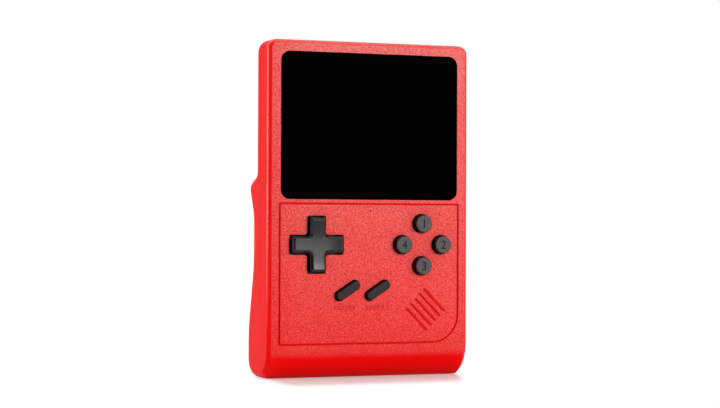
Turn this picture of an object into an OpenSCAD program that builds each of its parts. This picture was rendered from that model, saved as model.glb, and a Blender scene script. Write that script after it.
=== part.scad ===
// Handheld game console in a red two-part moulded housing. The front has a window above a panel
// with a four-way rocker, four round keys, two slanted pill keys and a slotted speaker. The rear has
// a shelf with two shoulder keys, a waist for the fingers and a grip bulge with the battery door.
// The front faces -Y, X runs to the right as seen from the front and Z runs up from the base.
// Sizes are millimetres. Depths run back from the plane of the front face.

/* [Body] */
// Width across the front
body_w = 72.4; // [70:0.1:82]
// Height from the base to the top
body_h = 112.8; // [110:0.1:126]
// Radius of the outline's corners and of the rear's side edges
corner_r = 3.2; // [2.2:0.1:3.2]
// Chamfer round the front face
face_chamfer = 1.4; // [1:0.1:1.8]
// Radius between that chamfer and the sides
edge_r = 1; // [0.6:0.1:1.4]
// Thickness of the front wall
face_wall = 2; // [1.8:0.1:2.6]
// Thickness of the side, top, bottom and rear walls
wall = 1.6; // [1.2:0.1:2]
// Radius of the round at the foot of the front face
foot_r = 12; // [10:0.1:13]
// Height by which the foot's round is cut flat to stand on
foot_cut = 1; // [0.5:0.1:1.4]
// Gap at the parting line between the two shells
seam_gap = 0.1; // [0.05:0.05:0.2]
// Depth at which the parting line runs under the base
skirt_d = 14; // [13:0.1:15]
// Height at which the parting line steps back to the skirt
skirt_z = 8.1; // [7:0.1:9]
// Drop of the parting line over that step
skirt_drop = 1.7; // [1:0.1:2.4]

/* [Rear grip] */
// Height at which the shelf meets the upper back
shelf_z = 68.7; // [66:0.1:72]
// Fall of the shelf from the upper back to the ridge
shelf_fall = 3.7; // [3.2:0.1:5]
// Radius of the foot of the shelf
shelf_r = 1.2; // [0.8:0.1:2]
// Rise of the ridge over the waist
ridge_rise = 5; // [4:0.1:5.5]
// Radius of the ridge
ridge_r = 3.6; // [3.4:0.1:4.2]
// Radius of the upper back edge
back_r = 4.4; // [3.6:0.1:5]
// Distance of the waist's upper end below the ridge
waist_drop = 11.2; // [9:0.1:13]
// Radius of the waist's upper end
waist_r = 12; // [8:0.5:16]
// Height of the waist's lower end
waist_low = 38.3; // [34:0.1:40]
// Rise of the grip bulge over the waist
grip_rise = 5.3; // [4.5:0.1:7]
// Height of the grip bulge
grip_z = 16.5; // [15:0.1:19]
// Radius of the sweep from the waist to the bulge
grip_r = 36; // [25:1:45]
// Radius of the heel between the back and the base
heel_r = 6.4; // [5:0.1:7.5]
// Height by which the heel's round and the lower corners are cut flat
heel_cut = 0.2; // [0.1:0.1:1]

/* [Window and display] */
// Width of the frame beside the window
bezel_side = 4.2; // [3.8:0.1:6]
// Height of the frame above the window
bezel_top = 3.9; // [3.6:0.1:6]
// Height of the bar between the window and the control panel
window_gap = 1.4; // [1.2:0.1:3]
// Corner radius of the window
window_r = 3.2; // [2:0.1:4.5]
// Thickness of the window
lens_t = 0.8; // [0.6:0.05:1]
// Depth of the window below the front face
lens_recess = 0.1; // [0.1:0.05:0.3]
// Thickness of the adhesive frame under the window
tape_t = 0.15; // [0.1:0.05:0.2]
// Gap round the window
lens_gap = 0.1; // [0.05:0.05:0.2]
// Width of the ledge that carries the window
lens_ledge = 2.5; // [2:0.1:3]
// Thickness of the foam frame in front of the display
gasket_t = 0.5; // [0.3:0.1:0.8]
// Overlap of the display behind the ledge
lcd_border = 3.2; // [2.6:0.1:3.6]
// Thickness of the display cell
lcd_t = 1.6; // [1.2:0.1:2]
// Thickness of the backlight tray
backlight_t = 1.8; // [1.4:0.1:2.4]
// Thickness of the foam tape between the display and the board
pad_t = 0.7; // [0.5:0.1:1]

/* [Control panel] */
// Height of the panel's groove above the foot's round
panel_rise = 0.5; // [0:0.1:1]
// Height of the panel inside its groove
panel_h = 46.8; // [46:0.1:52]
// Distance of the panel's groove from the sides
panel_side = 3.9; // [3.2:0.1:5]
// Radius of the panel's lower right corner
panel_r = 9.5; // [6:0.1:12]
// Width of the panel's groove
groove_w = 0.7; // [0.5:0.1:1]
// Depth of the panel's groove
groove_d = 0.6; // [0.3:0.1:0.8]
// Distance of the rocker and the round keys below the panel's top
controls_down = 13.7; // [12:0.1:14.5]
// Distance of the pin-hole below the panel's top
pin_down = 2.25; // [1.8:0.05:2.6]
// Radius of the pin-hole
pin_r = 0.3; // [0.2:0.05:0.5]

/* [Rocker] */
// Distance of the rocker's centre from the left side
rocker_side = 16.9; // [16:0.1:18]
// Span of the cross
rocker_span = 18.2; // [16:0.1:19]
// Width of an arm
rocker_arm = 5.5; // [5:0.1:7]
// Height of the arms above the front face
rocker_proud = 2.6; // [2:0.1:3.2]
// Bevel along the arms' top edges
rocker_bevel = 0.6; // [0.4:0.1:0.8]
// Depth of the dish in the rocker's top
rocker_dish = 0.6; // [0.3:0.1:0.9]
// Gap between the rocker and its hole
rocker_gap = 0.6; // [0.5:0.05:0.8]
// Radius of the disc that holds the rocker behind the wall
rocker_disc_r = 7; // [6:0.1:7.5]
// Room between the front wall and that disc for the rocker to tilt
rocker_room = 1; // [1:0.1:1.3]
// Radius of the ball that the rocker tilts on
pivot_r = 1.4; // [1:0.1:1.8]
// Gap round the ball
pivot_gap = 0.1; // [0.08:0.01:0.2]

/* [Keys] */
// Distance of the round keys' centre from the right side
keys_side = 17.5; // [16.5:0.1:19]
// Distance of each round key from their common centre
keys_ring = 7.15; // [6.8:0.05:7.6]
// Radius of a round key
key_r = 2.95; // [2.6:0.05:3.4]
// Height of the round keys above the front face
key_proud = 2.6; // [1.8:0.1:3]
// Rounding of the keys' top edges
key_fillet = 0.4; // [0.2:0.1:0.6]
// Gap round each key
key_gap = 0.45; // [0.3:0.05:0.5]
// Width of the flange that holds a key behind the wall
key_flange = 1; // [0.7:0.1:1.2]
// Thickness of that flange
flange_t = 0.9; // [0.6:0.1:1.1]
// Gap between a key's flange and the wall
key_seat = 0.05; // [0.02:0.01:0.1]
// Travel of the round keys and pill keys
key_travel = 1; // [0.6:0.1:1.1]
// Height of the pill keys above the panel's groove
pill_up = 17.8; // [16:0.1:19]
// Sideways place of the point between the pill keys
pill_x = -2.9; // [-5:0.1:-2]
// Distance between the pill keys
pill_pitch = 10.85; // [10:0.1:12]
// Length of a pill key
pill_l = 9.4; // [8:0.1:10]
// Width of a pill key
pill_w = 2.9; // [2.4:0.1:3.3]
// Height of the pill keys above the front face
pill_proud = 1.8; // [1.2:0.1:2.2]
// Angle at which the pill keys rise to the right
pill_tilt = 32.5; // [25:0.5:40]
// Thickness of the silicone membranes
membrane_t = 0.8; // [0.6:0.1:1]
// Radius of a membrane's dome at its foot
dome_r = 2.6; // [2.2:0.1:3]
// Thickness of a dome's skin
dome_skin = 0.5; // [0.4:0.1:0.7]
// Gap between a key's stem and its dome
dome_gap = 0.05; // [0.02:0.01:0.1]

/* [Speaker] */
// Distance of the speaker from the right side
speaker_side = 15.9; // [15:0.1:18]
// Height of the speaker above the panel's groove
speaker_up = 11.1; // [10.8:0.1:12]
// Radius of the speaker
speaker_r = 9; // [7.5:0.1:9.2]
// Length of a speaker slot
slot_l = 11; // [9:0.1:12]
// Width of a speaker slot
slot_w = 0.95; // [0.7:0.05:1.2]
// Distance between the speaker slots
slot_pitch = 2.29; // [2:0.05:2.5]
// Number of speaker slots
slots = 5; // [3:1:5]
// Angle at which the slots fall to the right
slot_tilt = 45; // [30:1:60]
// Thickness of the front wall over the speaker
grille_t = 1; // [0.8:0.1:1.4]
// Thickness of the felt between the slots and the speaker
felt_t = 0.2; // [0.1:0.05:0.3]
// Width of the speaker's rim
speaker_rim = 1.8; // [1.4:0.1:2.2]
// Radius of the speaker's magnet
magnet_r = 4.5; // [3.6:0.1:5]
// Room between the speaker and the board
speaker_room = 0.8; // [0.6:0.1:1]

/* [Board and ports] */
// Thickness of the main board
board_t = 1.2; // [1:0.1:1.6]
// Room behind the board for its parts in the thin upper half
parts_room = 4.4; // [3.8:0.1:5]
// Gap between the board's edge and the walls
board_gap = 1; // [0.6:0.1:1.4]
// Distance of the parting line behind the board
seam_back = 1.6; // [1.4:0.1:1.9]
// Sideways place of the charging socket
usb_x = 14; // [10:0.5:18]
// Width of the charging socket
usb_w = 8.94; // [8.5:0.02:9.2]
// Thickness of the charging socket
usb_t = 3.2; // [3:0.02:3.4]
// Length of the charging socket
usb_l = 7.3; // [6.5:0.1:8]
// Thickness of the charging socket's sheet
usb_skin = 0.32; // [0.25:0.01:0.4]
// Width of the charging socket's tongue
usb_tongue_w = 6.6; // [6:0.1:7]
// Thickness of the charging socket's tongue
usb_tongue_t = 0.7; // [0.6:0.05:0.8]
// Sideways place of the sound and picture jack
jack_x = -14; // [-18:0.5:-10]
// Radius of the jack's bore
jack_r = 1.8; // [1.78:0.01:1.85]
// Radius of the jack's nose
jack_nose_r = 2.9; // [2.6:0.1:3]
// Length of the jack
jack_l = 11; // [10:0.1:11.4]
// Distance of the ports' mouths above the base
port_up = 0.4; // [0.3:0.1:0.8]
// Gap between a port or a slider and its opening
port_gap = 0.25; // [0.15:0.05:0.4]
// Sideways place of the memory card
card_x = -12; // [-20:0.5:-8]
// Width of the memory card
card_w = 11; // [10.5:0.1:11.5]
// Length of the memory card
card_l = 15; // [14:0.1:16]
// Thickness of the memory card
card_t = 0.8; // [0.7:0.05:1]
// Depth of the card's edge below the top
card_sink = 0.5; // [0.3:0.1:0.8]
// Cut at the card's corner
card_notch = 1.4; // [1:0.1:1.8]
// Gap round the card in its socket
card_gap = 0.2; // [0.1:0.05:0.3]
// Distance of the power switch, in its lower position, below the volume wheel's middle
power_z = 19; // [17:0.1:21]
// Travel of the power switch
power_travel = 3; // [2:0.1:4]
// Height of the power slider's knob
power_knob = 3.4; // [2.6:0.1:4]
// Height of the knob above the side
power_proud = 0.9; // [0.6:0.1:1.4]
// Distance of the volume wheel's middle below the top
wheel_z = 17.8; // [15.8:0.1:20.8]
// Radius of the volume wheel
wheel_r = 8; // [7:0.1:9]
// Thickness of the volume wheel
wheel_t = 1.6; // [1.2:0.1:1.7]
// Height of the wheel's rim above the side
wheel_proud = 1.2; // [0.8:0.1:1.6]
// Number of ribs round the wheel
wheel_ribs = 40; // [24:1:60]
// Radius of the volume control's shaft
shaft_r = 1.4; // [1:0.1:2]
// Gap between the shaft and the wheel
shaft_gap = 0.08; // [0.05:0.01:0.15]

/* [Shoulder keys] */
// Distance of the shoulder keys' middles from the sides
shoulder_x = 12.2; // [11.7:0.1:14.2]
// Length of a shoulder key
shoulder_l = 13; // [11:0.1:13.6]
// Width of a shoulder key down the shelf
shoulder_w = 4.2; // [3.6:0.1:4.6]
// Height of a shoulder key above the shelf
shoulder_proud = 1.5; // [1:0.1:2]
// Travel of a shoulder key
shoulder_travel = 0.8; // [0.5:0.1:0.85]
// Distance of a shoulder key's middle down the shelf
shoulder_down = 3.9; // [3.6:0.1:4.2]

/* [Battery] */
// Width of the battery
battery_w = 53; // [48:0.5:55]
// Height of the battery
battery_h = 34; // [30:0.5:34.5]
// Thickness of the battery
battery_t = 6.2; // [5.4:0.1:6.8]
// Height of the battery's lower edge
battery_z = 14.5; // [14:0.1:15.5]
// Gap round the battery
battery_gap = 0.4; // [0.2:0.1:0.6]
// Thickness of the floor under the battery
tray_floor = 0.8; // [0.6:0.1:1]
// Gap between the board and that floor
tray_gap = 0.8; // [0.8:0.1:1.2]
// Thickness of the walls round the battery
tray_wall = 2; // [1.6:0.1:2.2]
// Thickness of the battery door
door_t = 1.4; // [1.2:0.1:1.6]
// Width of the ledge that the door's edge rests on
door_ledge = 1; // [0.6:0.1:1.2]
// Gap round the door
door_gap = 0.15; // [0.1:0.05:0.25]
// Gap above the door, wide enough for it to swing out
door_top_gap = 0.35; // [0.3:0.05:0.5]
// Gap between the door's ribs and the battery
rib_gap = 0.2; // [0.1:0.05:0.3]
// Thickness of the door's ribs
rib_t = 1.2; // [0.8:0.1:1.6]
// Width of the tabs at the door's foot
tab_w = 6; // [4:0.5:8]
// Length of the tabs at the door's foot
tab_l = 1.2; // [0.8:0.1:1.4]
// Thickness of the tabs at the door's foot
tab_t = 0.8; // [0.6:0.1:1]
// Radius of the thumb scoop above the door
thumb_r = 6; // [5:0.5:8]
// Depth of the thumb scoop
thumb_d = 0.7; // [0.5:0.1:0.9]
// Height of the contact block
contact_h = 9; // [8:0.5:10]
// Thickness of a contact leaf
contact_t = 0.6; // [0.4:0.1:0.8]
// Distance between the contact leaves
contact_pitch = 2.6; // [2.4:0.1:2.8]

/* [Board parts] */
// Side of the processor
chip_w = 12; // [9:0.5:14]
// Thickness of the processor
chip_t = 1; // [0.8:0.1:1.4]
// Width of a memory chip
memory_w = 6; // [5:0.5:8]
// Height of a memory chip
memory_h = 5; // [4:0.5:7]
// Length of the crystal
crystal_l = 5; // [4:0.2:6]
// Width of the crystal
crystal_w = 2.2; // [1.8:0.1:2.6]
// Length of a capacitor
capacitor_l = 3.2; // [2.4:0.1:4]
// Width of a capacitor
capacitor_w = 1.6; // [1.2:0.1:2]
// Height of a capacitor
capacitor_t = 1.4; // [0.8:0.1:1.8]
// Width of the flat cable
ribbon_w = 18; // [14:0.5:20]
// Thickness of the flat cable
ribbon_t = 0.2; // [0.15:0.05:0.3]
// Sideways place of the flat cable
ribbon_x = -16; // [-18:0.5:-14]
// Size of the socket for the flat cable
ribbon_socket_h = 2; // [1.6:0.1:2.4]

/* [Screws] */
// Distance of the case screws from the sides
screw_side = 5; // [4.6:0.1:5.2]
// Height of the lower case screws
screw_low = 9.6; // [9.2:0.1:10]
// Distance of the upper case screws below the panel's top
screw_down = 3.3; // [3:0.1:4]
// Radius of the case screws' shank
screw_r = 0.95; // [0.8:0.05:1.1]
// Radius of the case screws' head
screw_head_r = 2; // [1.7:0.1:2.2]
// Thickness of the case screws' head
screw_head_t = 1.3; // [1:0.1:1.6]
// Clearance round a screw
screw_gap = 0.15; // [0.1:0.05:0.25]
// Wall round a screw's hole
boss_wall = 1.3; // [1:0.1:1.5]
// Height of the upper board screw above the rocker's centre
pcb_up = 4; // [3:0.1:5]
// Distance of the left board screw from the side
pcb_side = 10; // [9.5:0.1:11]
// Distance of the lower board screws below the pill keys
pcb_down = 13; // [12:0.1:13.5]
// Distance of the lower right board screw from the point between the pill keys
pcb_right = 6; // [4:0.1:7]
// Radius of the board screws' shank
pcb_screw_r = 0.8; // [0.6:0.05:0.9]
// Radius of the board screws' head
pcb_head_r = 1.5; // [1.2:0.1:1.7]
// Thickness of the board screws' head
pcb_head_t = 0.6; // [0.4:0.1:0.7]

/* [Hidden] */
$fn = 64;
// Longer than the body, for cuts that run right through
far = 160;
// Overlap by which a piece runs into what it is fused with
bite = 0.4;
// Largest turn between two points of a moulded curve, in degrees
curve_step = 7.5;
// Steps round a moulded edge
edge_steps = 8;

// Stack of layers from the front face to the back
board_d = face_wall + gasket_t + lcd_t + backlight_t + pad_t;
board_back = board_d + board_t;
seam_d = board_back + seam_back;
upper_d = board_back + parts_room + wall;
tray_d = board_back + tray_gap;
battery_d = tray_d + tray_floor + door_gap;
waist_d = battery_d + battery_t + rib_gap + door_t;
ridge_d = waist_d + ridge_rise;
body_d = waist_d + grip_rise;
front_y = -(body_d - rocker_proud) / 2;
half_w = body_w / 2;
inner_w = half_w - wall;
foot_z = foot_r - foot_cut;

// Window and display
panel_z = foot_z + panel_rise;
panel_top = panel_z + panel_h;
panel_w = body_w - 2 * panel_side;
window_z = panel_top + window_gap;
window_w = body_w - 2 * bezel_side;
window_h = body_h - bezel_top - window_z;
window_mid = window_z + window_h / 2;
view_w = window_w - 2 * lens_ledge;
view_h = window_h - 2 * lens_ledge;
lcd_w = view_w + 2 * lcd_border;
lcd_h = view_h + 2 * lcd_border;
lcd_z = window_mid - lcd_h / 2;
lens_back = lens_recess + lens_t;
lens_seat = lens_back + tape_t;

// Controls
controls_z = panel_top - controls_down;
rocker_x = rocker_side - half_w;
keys_x = half_w - keys_side;
pill_z = panel_z + pill_up;
pin_z = panel_top - pin_down;
disc_d = face_wall + rocker_room;
pivot_d = disc_d + flange_t;
stem_d = face_wall + key_seat + 2 * flange_t;
key_places = [[0, keys_ring], [keys_ring, 0], [0, -keys_ring], [-keys_ring, 0]];

// Speaker
speaker_x = half_w - speaker_side;
speaker_z = panel_z + speaker_up;
speaker_d = grille_t + felt_t;
speaker_t = board_d - speaker_d - speaker_room;

// Ports and side controls
usb_d = board_back + usb_t / 2;
jack_d = board_back + jack_nose_r;
card_d = board_back + seam_back / 2 - card_t / 2;
card_top = body_h - card_sink;
power_d = board_back + parts_room / 2;
power_w = parts_room / 2;
wheel_x = half_w + wheel_proud - wheel_r;
wheel_mid = body_h - wheel_z;
power_mid = wheel_mid - power_z;
wheel_d = board_back + parts_room / 2 - wheel_t / 2;
wheel_slot = sqrt(pow(wheel_r + 2 * port_gap, 2) - pow(inner_w - bite - wheel_x, 2));

// Shelf and shoulder keys
shoulder_mid = half_w - shoulder_x;
shelf_run = [ridge_d - upper_d, -shelf_fall];
shelf_tilt = atan2(shelf_run[1], shelf_run[0]);
shelf_mid = [upper_d, shelf_z] + shoulder_down * shelf_run / norm(shelf_run);
shoulder_flange = -wall - key_seat - flange_t;
shoulder_stem = shoulder_flange - flange_t;
shoulder_push = shoulder_stem - shoulder_travel - dome_gap;
shoulder_body = shoulder_push - 0.5 * flange_t;
shoulder_board = shoulder_body - 2 * flange_t;

// Battery bay
battery_mid = battery_z + battery_h / 2;
bay_w = battery_w + 2 * battery_gap;
bay_h = battery_h + 2 * battery_gap;
door_w = bay_w + 2 * door_ledge;
door_h = bay_h + 2 * door_ledge;
door_low = battery_mid - door_h / 2;
door_high = battery_mid + door_h / 2;
tray_w = bay_w + 2 * tray_wall;
tray_h = bay_h + 2 * tray_wall;
contact_d = battery_d + battery_t / 2 - contact_t / 2;

// Screws
screw_x = half_w - screw_side;
screw_high = panel_top - screw_down;
boss_r = screw_r + boss_wall;
well_r = screw_head_r + 2 * screw_gap;
seat_d = seam_d + seam_gap + wall;
screw_places = [[-screw_x, screw_low], [screw_x, screw_low], [-screw_x, screw_high], [screw_x, screw_high]];
pcb_boss_r = pcb_screw_r + boss_wall;
pcb_places = [[0, controls_z + pcb_up], [pcb_side - half_w, pill_z - pcb_down],
    [pill_x + pcb_right, pill_z - pcb_down]];

// Rear side profile as corners, each with depth, height and radius
rear_corners = [
    [board_back, body_h, 0],
    [upper_d, body_h, back_r],
    [upper_d, shelf_z, shelf_r],
    [ridge_d, shelf_z - shelf_fall, ridge_r],
    [waist_d, shelf_z - shelf_fall - waist_drop, waist_r],
    [waist_d, waist_low, grip_r],
    [body_d, grip_z, grip_r],
    [body_d, -heel_cut, heel_r],
    [board_back, -heel_cut, 0]
];

// Curves of the rear profile

function flat(c) = [c[0], c[1]];
function unit(v) = v / norm(v);
function left_of(v) = [-v[1], v[0]];
function heading(v) = atan2(v[1], v[0]);
function turn(u, v) = asin(u[0] * v[1] - u[1] * v[0]) > 0 ? acos(u * v) : -acos(u * v);
function ray(a) = [cos(a), sin(a)];

// A rounded corner between two straight runs, as pairs of a point and its outward normal
function corner(a, p, b) =
    let (u = unit(flat(p) - flat(a)), v = unit(flat(b) - flat(p)), bend = turn(u, v),
        side = bend > 0 ? 1 : -1, steps = max(2, ceil(abs(bend) / curve_step)),
        start = flat(p) - u * p[2] * tan(abs(bend) / 2), centre = start + side * p[2] * left_of(u))
    [for (k = [0 : steps]) let (n = left_of(ray(heading(u) + bend * k / steps)))
        [centre - side * p[2] * n, n]];

// The whole profile, from the top round the back to the base
function rounded_path(c) = let (e = len(c) - 1) concat(
    [[flat(c[0]), left_of(unit(flat(c[1]) - flat(c[0])))]],
    [for (i = [1 : e - 1]) each corner(c[i - 1], c[i], c[i + 1])],
    [[flat(c[e]), left_of(unit(flat(c[e]) - flat(c[e - 1])))]]);

function inset(path, by) = [for (q = path) q[0] - by * q[1]];

rear_path = rounded_path(rear_corners);

// Drawing aids

// Stands a piece in the shared frame, with its depths running back from the front face
module placed() {
    translate([0, front_y, 0]) children();
}

// Runs an outline drawn in x and z back from one depth to another
module plate(d0, d1) {
    translate([0, d1, 0]) rotate([90, 0, 0]) linear_extrude(d1 - d0) children();
}

// Runs a side profile drawn in depth and z from one x to another
module bar(x0, x1) {
    translate([x0, 0, 0]) rotate([90, 0, 90]) linear_extrude(x1 - x0) children();
}

// A round post along the depth
module post(x, z, d0, d1, r) {
    translate([x, d0, z]) rotate([-90, 0, 0]) cylinder(h = d1 - d0, r = r);
}

// A block between two corners given as x, depth and z
module block(a, b) {
    translate(a) cube(b - a);
}

module rounded(w, h, r) {
    square([w - 2 * r, h], center = true);
    square([w, h - 2 * r], center = true);
    for (x = [-1, 1], y = [-1, 1]) translate([x * (w / 2 - r), y * (h / 2 - r)]) circle(r);
}

module pill(l, w) {
    square([l - w, w], center = true);
    for (x = [-1, 1]) translate([x * (l - w) / 2, 0]) circle(w / 2);
}

// A frame between two rounded outlines
module frame(w, h, r, by) {
    difference() {
        rounded(w, h, r);
        rounded(w - 2 * by, h - 2 * by, max(r - by, 0.3));
    }
}

module cross(span, arm, r) {
    rounded(span, arm, r);
    rounded(arm, span, r);
    rotate(45) square((arm + r) / sin(45), center = true);
}

// The top profile of a key, half of it, rounded at its upper edge
module key_half(r, low, high, f) {
    translate([0, low]) square([r, high - low - f]);
    translate([0, low]) square([r - f, high - low]);
    translate([r - f, high - f]) circle(f, $fn = 32);
}

// A key with a pill-shaped outline, rounded along its upper edge
module pill_key(l, w, low, high, f) {
    run = (l - w) / 2;
    for (x = [-run, run]) translate([x, 0, 0]) rotate_extrude() intersection() {
        key_half(w / 2, low, high, f);
        translate([0, low]) square([w, high - low]);
    }
    translate([-run, 0, 0]) rotate([90, 0, 90]) linear_extrude(2 * run) for (s = [0, 1]) mirror([s, 0])
        key_half(w / 2, low, high, f);
}

// Front shell

// Side profile of the room inside the front, in from the face, the base and the top
module foot_profile(face, base, top) {
    translate([face, foot_z]) square([far, body_h - top - foot_z]);
    intersection() {
        translate([foot_r, foot_z]) circle(foot_r - face, $fn = 96);
        translate([0, base]) square([foot_r, foot_z - base]);
    }
    translate([foot_r, base]) square([far, foot_z - base]);
}

// The edge between a side and the front as distances in from the side and back from the front: a
// chamfer whose outer end is rounded into the side
edge_run = face_chamfer + edge_r * tan(22.5);
edge_line = concat([for (k = [0 : edge_steps]) let (a = 180 + 45 * k / edge_steps)
    [edge_r + edge_r * cos(a), edge_run + edge_r * sin(a)]], [[face_chamfer, 0]]);
edge_back = [for (k = [len(edge_line) - 1 : -1 : 0]) edge_line[k]];

// Slab with rounded corners and that edge round its front
module face_slab() {
    low = corner_r - heel_cut;
    high = body_h - corner_r;
    translate([0, 0, low]) linear_extrude(high - low)
        polygon(concat([for (e = edge_line) [e[0] - half_w, e[1]]], [for (e = edge_back) [half_w - e[0], e[1]]],
            [[half_w, skirt_d], [-half_w, skirt_d]]));
    bar(corner_r - half_w, half_w - corner_r)
        polygon(concat([for (e = edge_back) [e[1], body_h - e[0]]], [[skirt_d, body_h], [skirt_d, 0], [0, 0]]));
    for (x = [-1, 1], z = [low, high])
        translate([x * (half_w - corner_r), 0, z]) rotate([-90, 0, 0]) rotate_extrude()
            polygon(concat([[0, 0]], [for (e = edge_back) [corner_r - e[0], e[1]]],
                [[corner_r, skirt_d], [0, skirt_d]]));
}

// The front down to the base: upright above, and below a drum that rolls the face and its edges under
module foot_solid() {
    block([-half_w, 0, foot_z], [half_w, skirt_d, body_h]);
    block([-half_w, foot_r, 0], [half_w, skirt_d, foot_z]);
    intersection() {
        translate([0, foot_r, foot_z]) rotate([0, 90, 0]) rotate_extrude($fn = 96)
            polygon(concat([[0, -half_w]], [for (e = edge_line) [foot_r - e[1], e[0] - half_w]],
                [for (e = edge_back) [foot_r - e[1], half_w - e[0]]], [[0, half_w]]));
        block([-half_w, 0, 0], [half_w, foot_r + bite, foot_z + bite]);
    }
}

// Everything behind the parting line, which steps back under the base
module rear_half(gap) {
    bar(-far, far) polygon([[seam_d + gap, far], [seam_d + gap, skirt_z],
        [skirt_d + gap, skirt_z - skirt_drop], [skirt_d + gap, -far], [far, -far], [far, far]]);
}

module panel(grow) {
    w = panel_w + 2 * grow;
    h = panel_h + 2 * grow;
    r = panel_r + grow;
    translate([-w / 2, panel_z - grow]) {
        translate([0, r]) square([w, h - r]);
        square([w - r, h]);
        translate([w - r, r]) circle(r);
    }
}

// Bosses, seats and ribs on the inside of the front wall
module front_inside() {
    for (p = screw_places) post(p[0], p[1], face_wall - bite, seam_d, boss_r);
    for (p = pcb_places) post(p[0], p[1], face_wall - bite, board_d, pcb_boss_r);
    difference() {
        post(speaker_x, speaker_z, face_wall - bite, speaker_d + speaker_t / 2, speaker_r + port_gap + bite);
        post(speaker_x, speaker_z, -face_wall, board_d, speaker_r + port_gap);
    }
    for (x = [-1, 1], z = [lcd_z + lcd_h / 4, lcd_z + 3 * lcd_h / 4])
        block([x > 0 ? lcd_w / 2 : -inner_w - bite, face_wall - bite, z - lcd_t],
            [x > 0 ? inner_w + bite : -lcd_w / 2, face_wall + gasket_t + lcd_t, z + lcd_t]);
}

module control_holes() {
    plate(-face_wall, 2 * face_wall) {
        translate([rocker_x, controls_z])
            cross(rocker_span + 2 * rocker_gap, rocker_arm + 2 * rocker_gap, rocker_bevel);
        for (p = key_places) translate([keys_x, controls_z] + p) circle(key_r + key_gap);
        for (s = [-1, 1]) translate([pill_x + s * pill_pitch / 2, pill_z]) rotate(pill_tilt)
            pill(pill_l + 2 * key_gap, pill_w + 2 * key_gap);
        for (i = [0 : slots - 1]) translate([speaker_x, speaker_z]) rotate(-slot_tilt)
            translate([0, (i - (slots - 1) / 2) * slot_pitch]) pill(slot_l, slot_w);
        translate([0, pin_z]) circle(pin_r);
    }
}

// Openings that both shells share along the parting line
module side_openings() {
    block([inner_w - bite, power_d - power_w / 2 - port_gap, power_mid - power_knob / 2 - port_gap],
        [far, power_d + power_w / 2 + port_gap, power_mid + power_travel + power_knob / 2 + port_gap]);
    block([inner_w - bite, wheel_d - port_gap, wheel_mid - wheel_slot],
        [far, wheel_d + wheel_t + port_gap, wheel_mid + wheel_slot]);
}

module base_openings() {
    translate([usb_x, usb_d, -wall]) linear_extrude(3 * wall)
        rounded(usb_w + 2 * port_gap, usb_t + 2 * port_gap, usb_t / 2);
    translate([jack_x, jack_d, -wall]) cylinder(h = 3 * wall, r = jack_nose_r + port_gap);
}

module front_shell() {
    difference() {
        union() {
            difference() {
                intersection() {
                    face_slab();
                    foot_solid();
                }
                bar(-inner_w, inner_w) foot_profile(face_wall, wall, wall);
            }
            front_inside();
        }
        plate(-face_wall, lens_seat) translate([0, window_mid]) rounded(window_w, window_h, window_r);
        plate(-face_wall, 2 * face_wall) translate([0, window_mid])
            rounded(view_w, view_h, window_r - lens_ledge / 2);
        plate(-face_wall, groove_d) difference() {
            panel(groove_w / 2);
            panel(-groove_w / 2);
        }
        post(speaker_x, speaker_z, grille_t, face_wall + bite, speaker_r + port_gap);
        control_holes();
        side_openings();
        base_openings();
        block([card_x - card_w / 2 - card_gap, card_d - card_gap, body_h - 2 * wall],
            [card_x + card_w / 2 + card_gap, far, body_h + wall]);
        for (p = screw_places) post(p[0], p[1], 2 * face_wall, far, screw_r + screw_gap / 3);
        for (p = pcb_places) post(p[0], p[1], 1.5 * face_wall, far, pcb_screw_r + screw_gap / 3);
        rear_half(0);
    }
}

// Rear shell

// Moulded outside of the rear: the side profile swept across, drawn in round both side edges
module rear_body() {
    edge = [for (k = [0 : edge_steps]) let (a = 90 * k / edge_steps)
        [corner_r * (1 - cos(a)), corner_r * (1 - sin(a))]];
    stations = concat([for (e = edge) [e[0] - half_w, e[1]]],
        [for (k = [edge_steps : -1 : 0]) [half_w - edge[k][0], edge[k][1]]]);
    ring = concat(rear_path, [[[board_back, battery_mid + waist_drop], [0, 0]]]);
    n = len(ring);
    last = len(stations) - 1;
    points = [for (s = stations) each [for (q = inset(ring, s[1])) [s[0], q[0], q[1]]]];
    sides = [for (k = [0 : last - 1], i = [0 : n - 1]) let (j = (i + 1) % n)
        each [[k * n + i, k * n + j, (k + 1) * n + j], [k * n + i, (k + 1) * n + j, (k + 1) * n + i]]];
    end = last * n;
    ends = [for (i = [0 : n - 3]) each [[n - 1, i + 1, i], [end + n - 1, end + i, end + i + 1]]];
    polyhedron(points = points, faces = concat(sides, ends), convexity = 6);
}

// Stands a piece on the shelf, with its z along the shelf's normal and its y down the shelf
module on_shelf(side) {
    translate([side * shoulder_mid, shelf_mid[0], shelf_mid[1]]) rotate([shelf_tilt, 0, 0]) children();
}

// Pillars under the shelf that hold a shoulder key's board by its ends
module shelf_bracket() {
    for (s = [-1, 1]) {
        end = s * (shoulder_l / 2 + tray_wall);
        out = end + s * tray_floor;
        low = shoulder_board - board_t - tray_floor;
        block([min(end, out), -shoulder_w / 2, low], [max(end, out), shoulder_w / 2, -bite]);
        block([min(end - s * tray_wall, out), -shoulder_w / 2, low],
            [max(end - s * tray_wall, out), shoulder_w / 2, low + tray_floor]);
    }
}

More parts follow.
